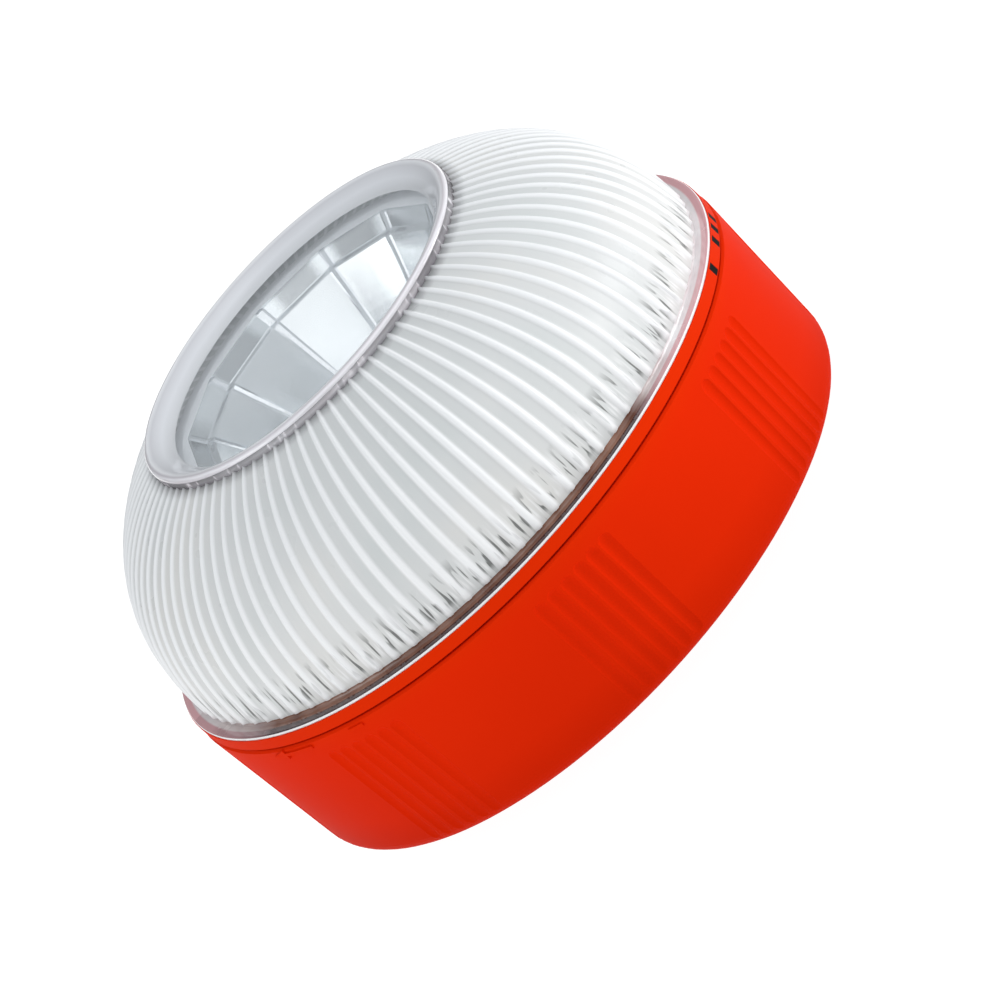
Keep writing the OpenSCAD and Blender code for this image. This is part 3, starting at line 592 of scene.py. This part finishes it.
def build_reflector_skin():
    """Twelve flat facets a tier, a narrow raised seam between neighbours, a ledge and
    a shallow upper band, laid just inside the moulded bowl."""
    z_step = Z_REFL - 1.8
    low = []
    for i in range(15):
        u = 0.02 + 0.98 * i / 14
        low.append((4.0 + (REFL_R - 2.15 - 4.0) * u ** 0.6, 29.2 + (z_step - 29.4) * u))
    prof = low + [(REFL_R - 1.95, z_step - 0.1), (REFL_R - 1.45, z_step + 0.02),
                  (REFL_R - 1.3, z_step + 0.12), (REFL_R - 0.32, Z_REFL - 0.12),
                  (REFL_R - 0.1, Z_REFL + 0.06), (REFL_R + 0.35, Z_REFL + 0.30),
                  (REFL_R + 1.7, Z_REFL + 0.36)]
    step = 360 / SECTORS
    seam = 1.8
    cols = []
    for k in range(SECTORS):
        a = PHASE + k * step
        cols += [(a - seam, 0.0), (a - seam * 0.45, 0.17), (a + seam * 0.45, 0.17), (a + seam, 0.0)]
        cols += [(a + step * t, 0.0) for t in (0.25, 0.5, 0.75)]
    half = math.radians(step / 2)
    rows = []
    for n, (r, z) in enumerate(prof):
        row = []
        for deg, lift in cols:
            off = math.radians((deg - PHASE) % step) - half
            flat = r * math.cos(half) / math.cos(off)
            if n >= len(prof) - 3:
                lift = 0.0
            if n >= len(prof) - 2:
                flat = r
            rr = flat - lift - 0.03
            row.append((rr * math.cos(math.radians(deg)), rr * math.sin(math.radians(deg)), z))
        rows.append(row)
    columns = len(cols)
    front = [v for row in rows for v in row]
    back = [(x * (1 + 0.1 / math.hypot(x, y)), y * (1 + 0.1 / math.hypot(x, y)), z - 0.05)
            for x, y, z in front]
    faces = loft(rows, columns, False)
    faces += [tuple(len(front) + i for i in reversed(f)) for f in faces]
    top = (len(rows) - 1) * columns
    for j in range(columns):
        k = (j + 1) % columns
        faces.append((j, len(front) + j, len(front) + k, k))
        faces.append((top + k, len(front) + top + k, len(front) + top + j, top + j))

    def pick(i, c):
        deg = (math.degrees(math.atan2(c.y, c.x)) - PHASE) % step
        if c.z > Z_REFL - 0.02:
            return 3
        if min(deg, step - deg) < seam * 1.05:
            return 0
        return 2 if c.z > z_step + 0.1 else 1

    piece("reflector_facets", front + back, faces,
          ["mirror", "tier_low", "tier_high", "frost"], "head", pick,
          smooth=False)


build_lens()
build_window()
build_reflector_skin()


# ---------------------------------------------------------------- stage
def build_stage():
    me = bpy.data.meshes.new("floor")
    half = 6.0
    me.from_pydata([(-half, -half, 0), (half, -half, 0), (half, half, 0), (-half, half, 0)],
                   [], [(0, 1, 2, 3)])
    ob = bpy.data.objects.new("floor", me)
    bpy.context.scene.collection.objects.link(ob)
    s = Shader("pale_floor")
    n = s.noise(3.0, 2.0)
    s.join(s.ramp(n, "Fac", [(0.2, (0.17, 0.17, 0.17)), (0.8, (0.20, 0.20, 0.20))]),
           "Color", s.p, "Base Color")
    s.set(Roughness=0.9, Specular_IOR_Level=0.1, Emission_Color=(1, 1, 1, 1),
          Emission_Strength=0.97)
    me.materials.append(s.m)


def area(name, loc, target, size, power):
    """A rectangular studio lamp; size is its width and height in metres."""
    li = bpy.data.lights.new(name, "AREA")
    li.shape = "RECTANGLE"
    li.size, li.size_y = size
    li.energy = power
    ob = bpy.data.objects.new(name, li)
    ob.location = loc
    ob.rotation_euler = (Vector(target) - Vector(loc)).to_track_quat("-Z", "Y").to_euler()
    bpy.context.scene.collection.objects.link(ob)


def build_world():
    w = bpy.data.worlds.new("studio")
    bpy.context.scene.world = w
    w.use_nodes = True
    t = w.node_tree
    t.nodes.clear()
    out = t.nodes.new("ShaderNodeOutputWorld")
    bg = t.nodes.new("ShaderNodeBackground")
    # a pale grey studio that is darker low down in front
    co = t.nodes.new("ShaderNodeTexCoord")
    sep = t.nodes.new("ShaderNodeSeparateXYZ")
    t.links.new(co.outputs["Generated"], sep.inputs["Vector"])

    def ramp(source, stops):
        n = t.nodes.new("ShaderNodeValToRGB")
        e = n.color_ramp.elements
        while len(e) < len(stops):
            e.new(0.5)
        for el, (pos, v) in zip(e, stops):
            el.position = pos
            el.color = (v * 0.98, v, v * 1.02, 1.0)
        t.links.new(source, n.inputs["Fac"])
        return n.outputs["Color"]

    def axis(name):
        n = t.nodes.new("ShaderNodeMapRange")
        n.inputs["From Min"].default_value = -1.0
        t.links.new(sep.outputs[name], n.inputs["Value"])
        return n.outputs["Result"]

    up = ramp(axis("Z"), [(0.0, 0.38), (0.5, 0.57), (0.66, 0.66), (0.8, 0.82), (1.0, 1.0)])
    front = ramp(axis("Y"), [(0.0, 0.55), (0.22, 0.80), (0.45, 0.95), (0.7, 0.56), (1.0, 0.36)])
    both = t.nodes.new("ShaderNodeMix")
    both.data_type = "RGBA"
    both.blend_type = "MULTIPLY"
    both.inputs[0].default_value = 1.0
    t.links.new(up, both.inputs[6])
    t.links.new(front, both.inputs[7])
    t.links.new(both.outputs[2], bg.inputs["Color"])
    bg.inputs["Strength"].default_value = 1.08
    t.links.new(bg.outputs["Background"], out.inputs["Surface"])


def build_camera():
    cam = bpy.data.cameras.new("camera")
    cam.lens = 329.6
    cam.sensor_width = 36.0
    cam.clip_start = 0.05
    cam.clip_end = 50.0
    ob = bpy.data.objects.new("camera", cam)
    right = Vector((0.675016, -0.269422, -0.686852))
    up = Vector((0.737803, 0.246494, 0.628401))
    back = Vector((0.0, -0.930942, 0.365168))
    m = Matrix((right, up, back)).transposed().to_4x4()
    m.translation = Vector((0.00061, -0.93494, 0.3845))
    ob.matrix_world = m
    bpy.context.scene.collection.objects.link(ob)
    bpy.context.scene.camera = ob


build_stage()
build_world()
build_camera()
# name, place, what it faces, size in metres, power in watts
for lamp in [
        ("top", (0.1, 0.15, 1.2), (0, 0, 0.03), (0.5, 0.5), 0.35),
        ("right", (1.25, -0.22, 0.16), (0, 0, 0.015), (0.8, 0.3), 6.6),
        ("right_high", (1.17, -0.2, 0.55), (0, 0, 0.045), (0.6, 0.4), 0.9),
        ("front", (-0.05, -0.98, 0.80), (0, 0, 0.045), (0.9, 0.5), 1.6),
        ("left", (-1.1, -0.3, 0.35), (0, 0, 0.03), (0.6, 0.6), 1.8),
]:
    area(*lamp)
bpy.context.scene.view_settings.view_transform = "Standard"
